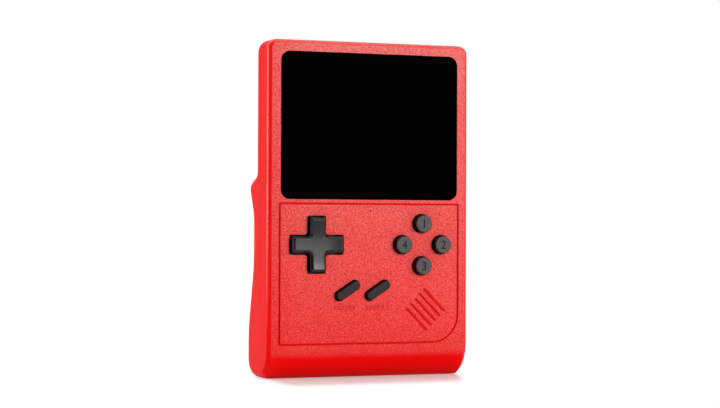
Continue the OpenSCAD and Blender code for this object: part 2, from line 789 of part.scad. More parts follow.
module rear_shell() {
    intersection() {
        rear_body();
        block([-far, 0, 0], [far, far, far]);
        difference() {
            union() {
                difference() {
                    rear_half(seam_gap);
                    intersection() {
                        bar(-inner_w, inner_w) polygon(inset(rear_path, wall));
                        block([-far, 0, wall], [far, far, far]);
                    }
                }
                plate(tray_d, far) translate([0, battery_mid]) square([tray_w, tray_h], center = true);
                for (p = screw_places) post(p[0], p[1], seam_d + seam_gap, far, well_r + boss_wall);
                for (s = [-1, 1]) on_shelf(s) shelf_bracket();
            }
            plate(tray_d + tray_floor, far) translate([0, battery_mid]) square([bay_w, bay_h], center = true);
            difference() {
                plate(seam_d, far) translate([0, battery_mid + (door_top_gap - door_gap) / 2])
                    rounded(door_w + 2 * door_gap, door_h + door_gap + door_top_gap, door_ledge + door_gap);
                bar(-far, far) polygon(inset(rear_path, door_t + door_gap / 3));
            }
            for (s = [-1, 1]) door_tab(s, door_gap * 2);
            for (p = screw_places) {
                post(p[0], p[1], seat_d, far, well_r);
                post(p[0], p[1], tray_d, far, screw_r + screw_gap);
            }
            for (s = [-1, 1]) on_shelf(s) translate([0, 0, -2 * wall]) linear_extrude(4 * wall)
                pill(shoulder_l + 2 * key_gap, shoulder_w + 2 * key_gap);
            for (s = [-1, 1]) on_shelf(s) translate([0, 0, shoulder_flange - shoulder_travel - port_gap])
                linear_extrude(flange_t + key_seat + shoulder_travel + port_gap)
                    pill(shoulder_l + 2 * key_flange, shoulder_w + 2 * key_flange + 2 * port_gap);
            block([-tray_w / 2 - bite, contact_d - contact_t, battery_mid - contact_h / 2],
                [-bay_w / 2 + bite, contact_d + 2 * contact_t, battery_mid + contact_h / 2]);
            translate([0, waist_d + thumb_r - thumb_d, door_high + door_top_gap]) rotate([0, 90, 0])
                cylinder(h = 2 * thumb_r, r = thumb_r, center = true);
            side_openings();
        }
    }
}

// Battery door

// A tab at the door's foot that hooks behind the rear shell, or its pocket with room to swing
module door_tab(side, room) {
    mid = side * door_w / 4;
    block([mid - tab_w / 2 - room, body_d - door_t - tab_t - 2 * room, door_low - tab_l - room],
        [mid + tab_w / 2 + room, body_d - door_t + bite + room, door_low + 2 * tab_l]);
}

module battery_door() {
    intersection() {
        bar(-door_w, door_w) difference() {
            polygon(inset(rear_path, 0));
            polygon(inset(rear_path, door_t));
        }
        plate(seam_d, far) translate([0, battery_mid]) rounded(door_w, door_h, door_ledge);
    }
    intersection() {
        bar(-door_w, door_w) polygon(inset(rear_path, door_t - bite));
        for (x = [-battery_w / 4, battery_w / 4])
            block([x - rib_t / 2, battery_d + battery_t + rib_gap, battery_z + rib_t],
                [x + rib_t / 2, far, waist_low]);
    }
    for (s = [-1, 1]) door_tab(s, 0);
}

// Window and display

module screen_lens() {
    plate(lens_recess, lens_back) translate([0, window_mid])
        rounded(window_w - 2 * lens_gap, window_h - 2 * lens_gap, window_r - lens_gap);
}

module lens_tape() {
    in = 2 * lens_gap;
    plate(lens_back, lens_seat) translate([0, window_mid])
        frame(window_w - 2 * in, window_h - 2 * in, window_r - in, lens_ledge - 2 * in);
}

module lcd_gasket() {
    plate(face_wall, face_wall + gasket_t) translate([0, window_mid])
        frame(lcd_w, lcd_h, window_r / 2, lcd_border - gasket_t);
}

module lcd_panel() {
    plate(face_wall + gasket_t, face_wall + gasket_t + lcd_t) translate([0, window_mid])
        square([lcd_w, lcd_h], center = true);
}

module lcd_backlight() {
    plate(board_d - pad_t - backlight_t, board_d - pad_t) translate([0, window_mid])
        rounded(lcd_w, lcd_h, lcd_t / 2);
}

module lcd_pad() {
    plate(board_d - pad_t, board_d) translate([0, window_mid]) frame(lcd_w, lcd_h, lcd_t / 2, 2 * lcd_border);
}

ribbon_z = lcd_z - ribbon_socket_h;

module lcd_ribbon() {
    start = face_wall + gasket_t + lcd_t / 2;
    bar(ribbon_x - ribbon_w / 2, ribbon_x + ribbon_w / 2) translate([start, ribbon_z]) {
        square([ribbon_t, ribbon_socket_h]);
        square([board_d - ribbon_socket_h / 2 - start, ribbon_t]);
    }
}

module ribbon_socket() {
    block([ribbon_x - ribbon_w / 2 - ribbon_t, board_d - ribbon_socket_h / 2, ribbon_z - ribbon_socket_h / 2],
        [ribbon_x + ribbon_w / 2 + ribbon_t, board_d, ribbon_z + ribbon_socket_h / 2]);
}

// Board and the parts on it

board_high = body_h - wall - board_gap;
board_low = foot_z - sqrt(pow(foot_r - face_wall, 2) - pow(foot_r - board_d, 2)) + board_gap / 2;

module main_board() {
    plate(board_d, board_back) difference() {
        translate([0, (board_low + board_high) / 2])
            rounded(2 * (inner_w - board_gap), board_high - board_low, board_gap);
        for (p = screw_places) translate(p) circle(boss_r + board_gap / 2);
        for (p = pcb_places) translate(p) circle(pcb_screw_r + screw_gap);
    }
}

// The crystal stands off the processor by its own length
crystal_x = -chip_w - crystal_l;

// A flat part on the back of the board
module on_board(x, z, w, h, t) {
    block([x - w / 2, board_back, z - h / 2], [x + w / 2, board_back + t, z + h / 2]);
}

module processor_chip() {
    on_board(-chip_w / 2, window_mid, chip_w, chip_w, chip_t);
}

module memory_chips() {
    for (s = [-1, 1]) on_board(chip_w, window_mid + s * memory_h, memory_w, memory_h, chip_t);
}

module crystal() {
    on_board(crystal_x, window_mid, crystal_w, crystal_l, chip_t);
}

module board_capacitors() {
    for (k = [-1 : 1])
        on_board(2 * k * capacitor_l, window_mid - chip_w, capacitor_l, capacitor_w, capacitor_t);
    for (z = [-crystal_l - capacitor_l, crystal_l + capacitor_l])
        on_board(crystal_x, window_mid + z, capacitor_w, capacitor_l, capacitor_t);
}

module status_led() {
    block([-capacitor_w / 2, board_d - capacitor_w / 3, pin_z - capacitor_w / 4],
        [capacitor_w / 2, board_d, pin_z + capacitor_w / 4]);
}

module usb_socket() {
    translate([usb_x, usb_d, port_up]) {
        difference() {
            linear_extrude(usb_l) pill(usb_w, usb_t);
            translate([0, 0, -usb_skin]) linear_extrude(usb_l)
                pill(usb_w - 2 * usb_skin, usb_t - 2 * usb_skin);
        }
        block([-usb_tongue_w / 2, -usb_tongue_t / 2, 3 * port_up],
            [usb_tongue_w / 2, usb_tongue_t / 2, usb_l]);
    }
}

module av_jack() {
    difference() {
        union() {
            translate([jack_x, jack_d, port_up]) cylinder(h = jack_l / 2, r = jack_nose_r);
            block([jack_x - jack_nose_r, board_back, port_up + 2 * wall],
                [jack_x + jack_nose_r, board_back + 2 * jack_nose_r, port_up + jack_l]);
        }
        translate([jack_x, jack_d, 0]) cylinder(h = port_up + jack_l - wall / 2, r = jack_r);
    }
}

card_low = card_top - card_l;

module card_socket() {
    difference() {
        block([card_x - card_w / 2 - wall, board_back, card_low - wall],
            [card_x + card_w / 2 + wall, card_d + card_t + card_gap + wall / 4, board_high]);
        block([card_x - card_w / 2 - card_gap, card_d - card_gap, card_low - card_gap],
            [card_x + card_w / 2 + card_gap, card_d + card_t + card_gap, far]);
    }
}

// Card with one cut corner
module memory_card() {
    w = card_w / 2;
    step = card_top - card_l / 3;
    plate(card_d, card_d + card_t) translate([card_x, 0]) polygon([[-w, card_low], [w, card_low],
        [w, step - card_notch], [w - card_notch, step], [w - card_notch, card_top], [-w, card_top]]);
}

// Power switch and volume wheel

module power_switch() {
    room = power_knob / 4 + port_gap;
    difference() {
        block([inner_w - 2 * power_knob, board_back, power_mid - power_knob],
            [inner_w - port_gap, board_back + parts_room - port_gap, power_mid + power_travel + power_knob]);
        block([inner_w - 1.5 * power_knob, power_d - power_w / 4 - port_gap, power_mid - room],
            [far, power_d + power_w / 4 + port_gap, power_mid + power_travel + room]);
    }
}

// Tongue in the switch, and a knob with three ribs
module power_slider() {
    block([inner_w - power_knob, power_d - power_w / 4, power_mid - power_knob / 4],
        [half_w, power_d + power_w / 4, power_mid + power_knob / 4]);
    block([inner_w, power_d - power_w / 2, power_mid - power_knob / 2],
        [half_w + power_proud / 2, power_d + power_w / 2, power_mid + power_knob / 2]);
    for (k = [-1 : 1]) translate([0, 0, power_mid + k * power_knob / 3])
        block([half_w, power_d - power_w / 2, -power_knob / 12],
            [half_w + power_proud, power_d + power_w / 2, power_knob / 12]);
}

module volume_control() {
    post(wheel_x, wheel_mid, board_back, wheel_d - shaft_gap, wheel_r / 2);
    post(wheel_x, wheel_mid, board_back, wheel_d + wheel_t + 2 * shaft_gap, shaft_r);
    post(wheel_x, wheel_mid, wheel_d + wheel_t + shaft_gap, wheel_d + wheel_t + 4 * shaft_gap, 1.6 * shaft_r);
}

module volume_wheel() {
    rib = 360 / wheel_ribs;
    plate(wheel_d, wheel_d + wheel_t) translate([wheel_x, wheel_mid]) difference() {
        polygon([for (k = [0 : wheel_ribs - 1]) each [wheel_r * ray(k * rib), wheel_r * ray((k + 0.45) * rib),
            (wheel_r - port_gap) * ray((k + 0.55) * rib), (wheel_r - port_gap) * ray((k + 0.9) * rib)]]);
        circle(shaft_r + shaft_gap);
    }
}

// Shoulder keys

module shoulder_key(side) {
    on_shelf(side) {
        pill_key(shoulder_l, shoulder_w, -wall - key_seat - bite, shoulder_proud, key_fillet);
        translate([0, 0, shoulder_flange]) linear_extrude(flange_t)
            pill(shoulder_l + 2 * key_flange, shoulder_w + 2 * key_flange);
        translate([0, 0, shoulder_stem]) cylinder(h = flange_t + bite, r = shoulder_w / 3);
    }
}

module left_shoulder_key() {
    shoulder_key(-1);
}

module right_shoulder_key() {
    shoulder_key(1);
}

module shoulder_switches() {
    for (s = [-1, 1]) on_shelf(s) {
        translate([-shoulder_w / 2, -shoulder_w / 2, shoulder_board])
            cube([shoulder_w, shoulder_w, shoulder_body - shoulder_board]);
        translate([0, 0, shoulder_body - bite])
            cylinder(h = shoulder_push - shoulder_body + bite, r = shoulder_w / 3);
    }
}

module shoulder_boards() {
    l = shoulder_l + 2 * tray_wall;
    for (s = [-1, 1]) on_shelf(s) translate([-l / 2, -shoulder_w / 2, shoulder_board - board_t])
        cube([l, shoulder_w, board_t]);
}

// Speaker

module on_speaker() {
    translate([speaker_x, speaker_d, speaker_z]) rotate([-90, 0, 0]) children();
}

module speaker_felt() {
    post(speaker_x, speaker_z, grille_t, speaker_d, speaker_r);
}

// Rim, plate and magnet in one
module speaker_frame() {
    rim = speaker_t / 3;
    on_speaker() rotate_extrude() {
        translate([speaker_r - speaker_rim, 0]) square([speaker_rim, rim]);
        translate([0, rim]) square([speaker_r, rim / 2]);
        square([magnet_r, speaker_t]);
    }
}

// Thin dished ring between the magnet and the rim
module speaker_cone() {
    rim = speaker_t / 3;
    inner = magnet_r + shaft_gap;
    outer = speaker_r - speaker_rim - shaft_gap;
    third = (outer - inner) / 3;
    on_speaker() rotate_extrude() polygon([[inner, 0.8 * rim], [inner + third, 0.5 * rim], [outer, 0.2 * rim],
        [outer, 0.4 * rim], [inner + third, 0.7 * rim], [inner, rim]]);
}

module speaker_leads() {
    lead_z = speaker_z - (magnet_r + speaker_r) / 2;
    for (s = [-1, 1])
        post(speaker_x + s * slot_pitch, lead_z, speaker_d + speaker_t / 2, board_d, slot_w / 2);
}

// Rocker

module rocker_bar() {
    p = rocker_proud;
    b = rocker_bevel;
    s = rocker_span / 2;
    a = rocker_arm / 2;
    back = disc_d + flange_t / 2;
    intersection() {
        plate(-p, back) rounded(rocker_span, rocker_arm, b);
        bar(-s, s) polygon([[b - p, -a], [-p, b - a], [-p, a - b], [b - p, a], [back, a], [back, -a]]);
        translate([0, 0, -a]) linear_extrude(2 * a)
            polygon([[-s, b - p], [b - s, -p], [s - b, -p], [s, b - p], [s, back], [-s, back]]);
    }
}

module rocker() {
    dish_w = rocker_span / 2 - 3 * rocker_bevel;
    dish_r = (pow(dish_w, 2) + pow(rocker_dish, 2)) / (2 * rocker_dish);
    translate([rocker_x, 0, controls_z]) difference() {
        union() {
            rocker_bar();
            rotate([0, 90, 0]) rocker_bar();
            plate(rocker_dish - rocker_proud, disc_d + flange_t / 2) rotate(45)
                square((rocker_arm + rocker_bevel) / sin(45), center = true);
            post(0, 0, disc_d, disc_d + flange_t, rocker_disc_r);
        }
        translate([0, rocker_dish - rocker_proud - dish_r, 0]) sphere(dish_r);
        translate([0, pivot_d, 0]) sphere(pivot_r + pivot_gap);
    }
}

module rocker_pivot() {
    translate([rocker_x, pivot_d, controls_z]) sphere(pivot_r);
}

// A silicone dome, open towards the board
module dome(x, z, top, r) {
    translate([x, board_d, z]) rotate([90, 0, 0]) cylinder(h = membrane_t, r = r + dome_skin);
    translate([x, board_d - membrane_t, z]) rotate([90, 0, 0])
        cylinder(h = board_d - membrane_t - top, r1 = r, r2 = r - dome_skin);
}

// The hollow of a dome, round the pellet that stands the key's travel off the board
module dome_hollow(x, z, top, r) {
    difference() {
        post(x, z, top + 2 * dome_skin, board_d + bite, r - 2 * dome_skin);
        post(x, z, top, board_d - key_travel, (r - 2 * dome_skin) / 2);
    }
}

rocker_reach = rocker_span / 2 - dome_r - dome_skin;
rocker_places = [[0, rocker_reach], [rocker_reach, 0], [0, -rocker_reach], [-rocker_reach, 0]];

module rocker_membrane() {
    top = disc_d + flange_t + dome_gap;
    difference() {
        union() {
            post(rocker_x, controls_z, board_d - membrane_t, board_d, rocker_span / 2);
            post(rocker_x, controls_z, pivot_d + pivot_r + pivot_gap, board_d, pivot_r);
            for (p = rocker_places) dome(rocker_x + p[0], controls_z + p[1], top, dome_r);
        }
        for (p = rocker_places) dome_hollow(rocker_x + p[0], controls_z + p[1], top, dome_r);
    }
}

// Round keys and pill keys

module key_membrane() {
    top = stem_d + dome_gap;
    difference() {
        union() {
            plate(board_d - membrane_t, board_d) translate([keys_x, controls_z]) circle(keys_ring);
            for (p = key_places) dome(keys_x + p[0], controls_z + p[1], top, dome_r);
        }
        for (p = key_places) dome_hollow(keys_x + p[0], controls_z + p[1], top, dome_r);
    }
}

module round_key(k) {
    translate([keys_x + key_places[k][0], 0, controls_z + key_places[k][1]]) rotate([90, 0, 0]) {
        rotate_extrude() intersection() {
            key_half(key_r, -face_wall - key_seat - flange_t / 2, key_proud, key_fillet);
            translate([0, -stem_d]) square([key_r, stem_d + key_proud]);
        }
        translate([0, 0, -face_wall - key_seat - flange_t]) cylinder(h = flange_t, r = key_r + key_flange);
        translate([0, 0, -stem_d]) cylinder(h = flange_t + bite, r = dome_r - dome_skin);
    }
}

module key_top() {
    round_key(0);
}

module key_right() {
    round_key(1);
}

module key_bottom() {
    round_key(2);
}

module key_left() {
    round_key(3);
}

// Stands a piece at a pill key, with its x along the key and its z towards the front
module at_pill(side) {
    translate([pill_x + side * pill_pitch / 2, 0, pill_z]) rotate([0, -pill_tilt, 0]) rotate([90, 0, 0])
        children();
}

module flat_key(side) {
    at_pill(side) {
        pill_key(pill_l, pill_w, -face_wall - key_seat - flange_t / 2, pill_proud, key_fillet);
        translate([0, 0, -face_wall - key_seat - flange_t]) linear_extrude(flange_t)
            pill(pill_l + 1.6 * key_flange, pill_w + 1.6 * key_flange);
        translate([0, 0, -stem_d]) cylinder(h = flange_t + bite, r = pill_w / 2);
    }
}

module select_key() {
    flat_key(-1);
}

module start_key() {
    flat_key(1);
}

module pill_membrane() {
    top = stem_d + dome_gap;
    r = pill_w / 2 + 2 * dome_skin;
    foot = r + dome_skin;
    difference() {
        union() {
            plate(board_d - membrane_t, board_d) translate([pill_x, pill_z])
                pill(pill_pitch + 2 * foot, 2 * foot);
            for (s = [-1, 1]) dome(pill_x + s * pill_pitch / 2, pill_z, top, r);
        }
        for (s = [-1, 1]) dome_hollow(pill_x + s * pill_pitch / 2, pill_z, top, r);
    }
}

// Battery and screws

module battery() {
    plate(battery_d, battery_d + battery_t) translate([0, battery_mid])
        rounded(battery_w, battery_h, battery_t / 2);
}

module contact_block() {
    block([board_gap - inner_w, board_back, battery_mid - contact_h / 2],
        [-tray_w / 2 - port_gap, contact_d + 3 * contact_t, battery_mid + contact_h / 2]);
}

module battery_contacts() {
    for (k = [-1 : 1]) block([-tray_w / 2 - port_gap, contact_d, battery_mid + k * contact_pitch - contact_t],
        [-battery_w / 2 - port_gap / 2, contact_d + contact_t, battery_mid + k * contact_pitch + contact_t]);
}

// A screw along the depth with a cross recess in its head
module screw(x, z, tip, seat, r, head_r, head_t) {
    difference() {
        union() {
            post(x, z, tip, seat + head_t / 2, r);
            post(x, z, seat, seat + head_t, head_r);
        }
        for (s = [0, 90]) translate([x, seat + head_t, z]) rotate([0, s, 0])
            cube([head_r * 1.2, head_t, head_r * 0.3], center = true);
    }
}

module case_screws() {
    for (p = screw_places) screw(p[0], p[1], 2.3 * face_wall, seat_d, screw_r, screw_head_r, screw_head_t);
}

module board_screws() {
    for (p = pcb_places) screw(p[0], p[1], 1.7 * face_wall, board_back, pcb_screw_r, pcb_head_r, pcb_head_t);
}

placed() {
    color("firebrick") front_shell();
    color("brown") rear_shell();
    color("indianred") battery_door();
    color("black") screen_lens();
    color("dimgray") lens_tape();
    color("darkslategray") lcd_gasket();
    color("slategray") lcd_panel();
    color("whitesmoke") lcd_backlight();
    color("gray") lcd_pad();
    color("darkorange") lcd_ribbon();
    color("beige") ribbon_socket();
    color("seagreen") main_board();
    color("black") processor_chip();
    color("darkslategray") memory_chips();
    color("silver") crystal();
    color("tan") board_capacitors();
    color("lightyellow") status_led();
    color("silver") usb_socket();
    color("dimgray") av_jack();
    color("lightgray") card_socket();
    color("black") memory_card();
    color("silver") power_switch();
    color("black") power_slider();
    color("tan") volume_control();
    color("black") volume_wheel();
    color("seagreen") shoulder_boards();
    color("silver") shoulder_switches();
    color("black") left_shoulder_key();
    color("black") right_shoulder_key();
    color("darkred") speaker_felt();
    color("silver") speaker_frame();
    color("dimgray") speaker_cone();
    color("red") speaker_leads();
    color("black") rocker();
    color("ivory") rocker_pivot();
    color("gray") rocker_membrane();
    color("gray") key_membrane();
    color("gray") pill_membrane();
    color("dimgray") key_top();
    color("dimgray") key_right();
    color("dimgray") key_bottom();
    color("dimgray") key_left();
    color("black") select_key();
    color("black") start_key();
    color("lightgray") battery();
    color("black") contact_block();
    color("gold") battery_contacts();
    color("silver") case_screws();
    color("silver") board_screws();
}
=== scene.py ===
# %% [markdown]
# # A red handheld game console, lesson by lesson
# The construction model gives every solid piece its place and its joint. This script dresses those
# pieces: it sets the camera where the photographer stood, lights the console like a small product on
# a white table, and gives each piece the finish of the material it is moulded, cut or stamped from.
# Everything stands in the construction model's own frame: the front faces -Y and Z points up. Lengths are
# metres. Only the shapes added below are drawn in millimetres, and piece_from brings them to metres.

# %% Load the construction model
import math

import bmesh
import bpy
from mathutils import Matrix, Vector
from mathutils.geometry import delaunay_2d_cdt


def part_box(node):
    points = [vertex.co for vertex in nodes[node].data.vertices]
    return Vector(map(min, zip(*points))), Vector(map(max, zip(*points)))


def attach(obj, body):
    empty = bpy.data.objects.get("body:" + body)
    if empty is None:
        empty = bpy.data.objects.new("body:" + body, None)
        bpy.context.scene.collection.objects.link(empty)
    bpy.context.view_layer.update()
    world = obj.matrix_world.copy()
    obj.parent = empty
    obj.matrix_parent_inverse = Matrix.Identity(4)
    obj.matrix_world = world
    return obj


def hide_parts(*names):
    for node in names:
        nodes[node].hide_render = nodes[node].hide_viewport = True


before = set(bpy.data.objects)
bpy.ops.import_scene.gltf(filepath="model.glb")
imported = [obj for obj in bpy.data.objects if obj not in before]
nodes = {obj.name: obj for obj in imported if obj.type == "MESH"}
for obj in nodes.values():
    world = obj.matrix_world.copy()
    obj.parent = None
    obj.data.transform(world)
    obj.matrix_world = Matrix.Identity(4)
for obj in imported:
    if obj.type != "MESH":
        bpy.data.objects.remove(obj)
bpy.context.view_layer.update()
MM = 0.001
FACE_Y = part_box("front_shell")[0].y
TOP_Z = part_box("front_shell")[1].z
print(f"{len(nodes)} nodes, front face at y = {FACE_Y / MM:.3f} mm, top at {TOP_Z / MM:.1f} mm")

# %% [markdown]
# ## Small helpers
# Colours are easiest to pick as sRGB hex values, but shaders count in linear light, so one function
# turns the first into the second. Shader graphs are lists of nodes and links, and one more function
# adds a node, sets its properties and joins its inputs. The sums, ranges, mixes and noises that every
# material needs are short functions on top of it, so that each material below reads top down.


# %% Colour and node helpers
def hex_colour(code):
    parts = [int(code[i:i + 2], 16) / 255 for i in (1, 3, 5)]
    linear = [c / 12.92 if c <= 0.04045 else ((c + 0.055) / 1.055) ** 2.4 for c in parts]
    return (*linear, 1)


def add(tree, kind, inputs=None, **settings):
    made = tree.nodes.new(kind)
    for name, value in settings.items():
        setattr(made, name, value)
    for name, value in (inputs or {}).items():
        if isinstance(value, bpy.types.NodeSocket):
            tree.links.new(value, made.inputs[name])
        else:
            made.inputs[name].default_value = value
    return made


def maths(tree, operation, first, second=0, clamp=False):
    made = add(tree, "ShaderNodeMath", {0: first, 1: second}, operation=operation, use_clamp=clamp)
    return made.outputs[0]


def vectors(tree, operation, first, second=(0, 0, 0)):
    made = add(tree, "ShaderNodeVectorMath", {0: first, 1: second}, operation=operation)
    return made.outputs["Value" if operation in ("LENGTH", "DOT_PRODUCT") else "Vector"]


def remap(tree, value, source=(0, 1), target=(0, 1), smooth=False):
    ranges = {"From Min": source[0], "From Max": source[1], "To Min": target[0], "To Max": target[1]}
    kind = "SMOOTHSTEP" if smooth else "LINEAR"
    return add(tree, "ShaderNodeMapRange", {"Value": value, **ranges}, interpolation_type=kind).outputs[0]


def blend(tree, amount, first, second):
    return add(tree, "ShaderNodeMix", {0: amount, 6: first, 7: second}, data_type="RGBA").outputs[2]


def noise(tree, place, size, detail, roughness=0.5):
    values = {"Vector": place, "Scale": 1 / size, "Detail": detail, "Roughness": roughness}
    return add(tree, "ShaderNodeTexNoise", values).outputs["Fac"]


def surface(tree, inputs):
    shader = add(tree, "ShaderNodeBsdfPrincipled", inputs)
    add(tree, "ShaderNodeOutputMaterial", {"Surface": shader.outputs[0]})


def new_material(name):
    material = bpy.data.materials.new(name)
    material.use_nodes = True
    material.node_tree.nodes.clear()
    return material, material.node_tree


print("hex_colour('#808080') gives", round(hex_colour("#808080")[0], 3))

# %% [markdown]
# ## The camera
# The window and the body are true rectangles, so their four-cornered shapes in the picture give the
# viewpoint: 22 degrees round to the console's left, at about half its height, 66 cm away with a long
# lens. A camera tilted up by two thirds of a degree puts the horizon where the picture has it, and
# needs no lens shift, so that the other views stay centred. The picture also leans by a fifth of a
# degree, and so does the camera.

# %% Camera
VIEW_ANGLE = math.radians(21.9)
TILT_UP = math.radians(0.651)
LEAN = -0.0036
SENSOR, PICTURE_WIDTH, FOCAL_PIXELS = 36, 720, 1933.5
CAMERA_PLACE = Vector((-245.64, -611.76, 50.9)) * MM
camera_data = bpy.data.cameras.new("camera")
camera_data.sensor_width = SENSOR
camera_data.lens = SENSOR * FOCAL_PIXELS / PICTURE_WIDTH
camera_data.clip_start = 0.01
camera = bpy.data.objects.new("camera", camera_data)
bpy.context.collection.objects.link(camera)
camera.location = CAMERA_PLACE
camera.rotation_euler = (math.pi / 2 + TILT_UP, LEAN, -VIEW_ANGLE)
bpy.context.scene.camera = camera
bpy.context.scene.view_settings.view_transform = "Standard"
print(f"camera with a {camera_data.lens:.1f} mm lens")

# %% [markdown]
# ## The room
# A product picture on pure white is lit from soft panels in a dim room. The world is that room: a low,
# even fill, which shows white to the camera, in reflections and through glass. A black flag stands at the
# left, out of the picture: only reflections find it, and it draws the dark edges on the keys and keeps the
# chamfer deep red.

# %% World
WHITE = (1, 1, 1, 1)
FILL = 0.34
FLAG_TOWARDS = Vector((-0.93, -0.37, 0.0)).normalized()
# Cosines of the angles from the flag's middle at which it has ended and is darkest
FLAG_RANGE = (math.cos(math.radians(41)), math.cos(math.radians(18)))
FLAG_DEPTH = 0.95


def seen_directly(tree):
    ray = add(tree, "ShaderNodeLightPath").outputs
    first = maths(tree, "MAXIMUM", ray["Is Camera Ray"], ray["Is Glossy Ray"])
    return maths(tree, "MAXIMUM", first, ray["Is Transmission Ray"])


world = bpy.data.worlds.new("studio")
bpy.context.scene.world = world
world.use_nodes = True
tree = world.node_tree
tree.nodes.clear()
towards = add(tree, "ShaderNodeTexCoord").outputs["Generated"]
aim = vectors(tree, "DOT_PRODUCT", towards, FLAG_TOWARDS)
flag = remap(tree, aim, FLAG_RANGE, (0, FLAG_DEPTH), smooth=True)
flag = maths(tree, "MULTIPLY", flag, add(tree, "ShaderNodeLightPath").outputs["Is Glossy Ray"])
fill = add(tree, "ShaderNodeBackground", {"Color": WHITE, "Strength": FILL})
white = add(tree, "ShaderNodeBackground", {"Color": WHITE, "Strength": maths(tree, "SUBTRACT", 1, flag)})
mixed = add(tree, "ShaderNodeMixShader", {0: seen_directly(tree), 1: fill.outputs[0], 2: white.outputs[0]})
add(tree, "ShaderNodeOutputWorld", {"Surface": mixed.outputs[0]})
print("world fill", FILL)

# %% [markdown]
# ## The table
# The table is matt white with a sheen at flat angles, which mirrors the foot. In a small rectangle round
# the console it is plain paint, so that it keeps the contact shadow and the red that the foot throws back.
# Further out it fades into white, faster to the sides than to the front, so that no horizon shows.

# %% Table
PLAIN_CENTRE, PLAIN_HALF = (0, -0.014, 0), (0.033, 0.012, 0)
FADE_RATE, FADE = (2.5, 1, 0), (-0.006, 0.018)
SHEEN, SHEEN_ROUGH, PAINT_IOR = 0.8, 0.2, 1.45
TABLE_SIZE = 40
table_paint, tree = new_material("matt white table")
past = vectors(tree, "SUBTRACT", add(tree, "ShaderNodeTexCoord").outputs["Object"], PLAIN_CENTRE)
past = vectors(tree, "SUBTRACT", vectors(tree, "ABSOLUTE", past), PLAIN_HALF)
past = vectors(tree, "MULTIPLY", vectors(tree, "MAXIMUM", past), FADE_RATE)
faded = remap(tree, vectors(tree, "LENGTH", past), FADE, smooth=True)
shown = maths(tree, "MULTIPLY", seen_directly(tree), faded)
matt = add(tree, "ShaderNodeBsdfDiffuse", {"Color": hex_colour("#FCFCFC"), "Roughness": 1})
sheen = add(tree, "ShaderNodeBsdfGlossy", {"Color": WHITE, "Roughness": SHEEN_ROUGH})
flat_look = maths(tree, "MULTIPLY", add(tree, "ShaderNodeFresnel", {"IOR": PAINT_IOR}).outputs[0], SHEEN)
paint = add(tree, "ShaderNodeMixShader", {0: flat_look, 1: matt.outputs[0], 2: sheen.outputs[0]})
glow = add(tree, "ShaderNodeEmission", {"Color": WHITE, "Strength": 1})
sweep = add(tree, "ShaderNodeMixShader", {0: shown, 1: paint.outputs[0], 2: glow.outputs[0]})
add(tree, "ShaderNodeOutputMaterial", {"Surface": sweep.outputs[0]})

bpy.ops.mesh.primitive_plane_add(size=TABLE_SIZE)
table = bpy.context.object
table.name = "table"
table.data.materials.append(table_paint)
print("a white table")

# %% [markdown]
# ## Soft panels
# Five panels shape the body. The key stands high at the front right: the rocker's dish shows its lower
# edge. A weak wide one stands on the table below it, for the foot. One above and behind lights the table
# and the top edge, and lets the console shade the table in front of it. One at the left brightens the
# side, and a weak one lights the rear.


# %% Panels
def panel(name, place, target, size, power):
    data = bpy.data.lights.new(name, "AREA")
    data.shape = "RECTANGLE"
    data.size, data.size_y = size
    data.energy = power
    lamp = bpy.data.objects.new(name, data)
    bpy.context.collection.objects.link(lamp)
    lamp.location = place
    lamp.rotation_euler = (Vector(target) - Vector(place)).to_track_quat("-Z", "Y").to_euler()


panel("key panel", (0.28, -0.52, 0.24), (0, 0, 0.06), (0.28, 0.18), 1.26)
panel("low panel", (0.32, -0.55, 0.1), (0, 0, 0.03), (0.46, 0.2), 0.78)
panel("top panel", (0, 0.12, 0.75), (0, 0, 0.05), (0.5, 0.4), 2.9)
panel("left panel", (-0.62, 0.1, 0.24), (0, 0, 0.06), (0.2, 0.5), 1.95)
panel("rear panel", (0.5, 0.75, 0.45), (0, 0, 0.06), (0.4, 0.4), 1.6)
print("five panels")

# %% [markdown]
# ## Red ABS, moulded
# The housing is ABS moulded in one bright red. The front face of the mould was spark-eroded, which leaves a
# fine matt grain. The chamfer, the sides and the rounded foot are smoother and deeper in colour. One material
# serves both: the depth of a point behind the front plane says which part of the mould it touched. The sheen
# of the grain is painted into its colour as a paler red. It is stronger towards the top and weaker at the
# left edge, so the red is deeper low down and at the left. A paler line along the outer edge of the chamfer
# is a painted highlight. The upper chamfer keeps some grain, and near the foot the grain fades over the
# curve. Real grain is about 0.2 mm across, finer than a pixel of the picture, so it is drawn at 0.32 mm to
# show.

# %% Red ABS
ABS_IOR = 1.54
PIT_RED, PEAK_RED, PAINTED_SHEEN_RED = (hex_colour(code) for code in ("#D00806", "#F60A08", "#DE9590"))
RED_ROUGH, RED_SPECULAR = (0.4, 0.58), 0.03
# Grain: its size and relief, where its noise mostly lies, and how much its specks and the broad patches vary
GRAIN, GRAIN_RELIEF, GRAIN_SPREAD, SPECKS = 0.32 * MM, 0.12 * MM, (0.32, 0.68), (0.15, 1.85)
CLOUD, CLOUD_SPREAD, PATCHES = 16 * MM, (0.3, 0.7), (0.93, 1.07)
# How far behind the face the grain goes, at the foot and above it, and what of it the upper chamfer keeps
FACE_SKIN, FOOT_BEND, GRAIN_REACH = 0.01 * MM, (9 * MM, 12 * MM), (0.9 * MM, 0.45 * MM)
TOP_CHAMFER, TOP_DEPTH, TOP_GRAIN = (TOP_Z - 1.5 * MM, TOP_Z - 0.8 * MM), (1.3 * MM, 2.1 * MM), 0.75
# Painted sheen, rising over the face and weakening at the left edge; painted highlight along the chamfer's
# outer edge
SHEEN_HEIGHTS, SHEEN_LEFT_EDGE, SHEEN_AT_LEFT = (12 * MM, TOP_Z), (-35 * MM, -22 * MM), 0.68
EDGE_DEPTH, EDGE_WIDTH, EDGE_FADE = 1.6 * MM, (0.15 * MM, 0.7 * MM), (14 * MM, 60 * MM)


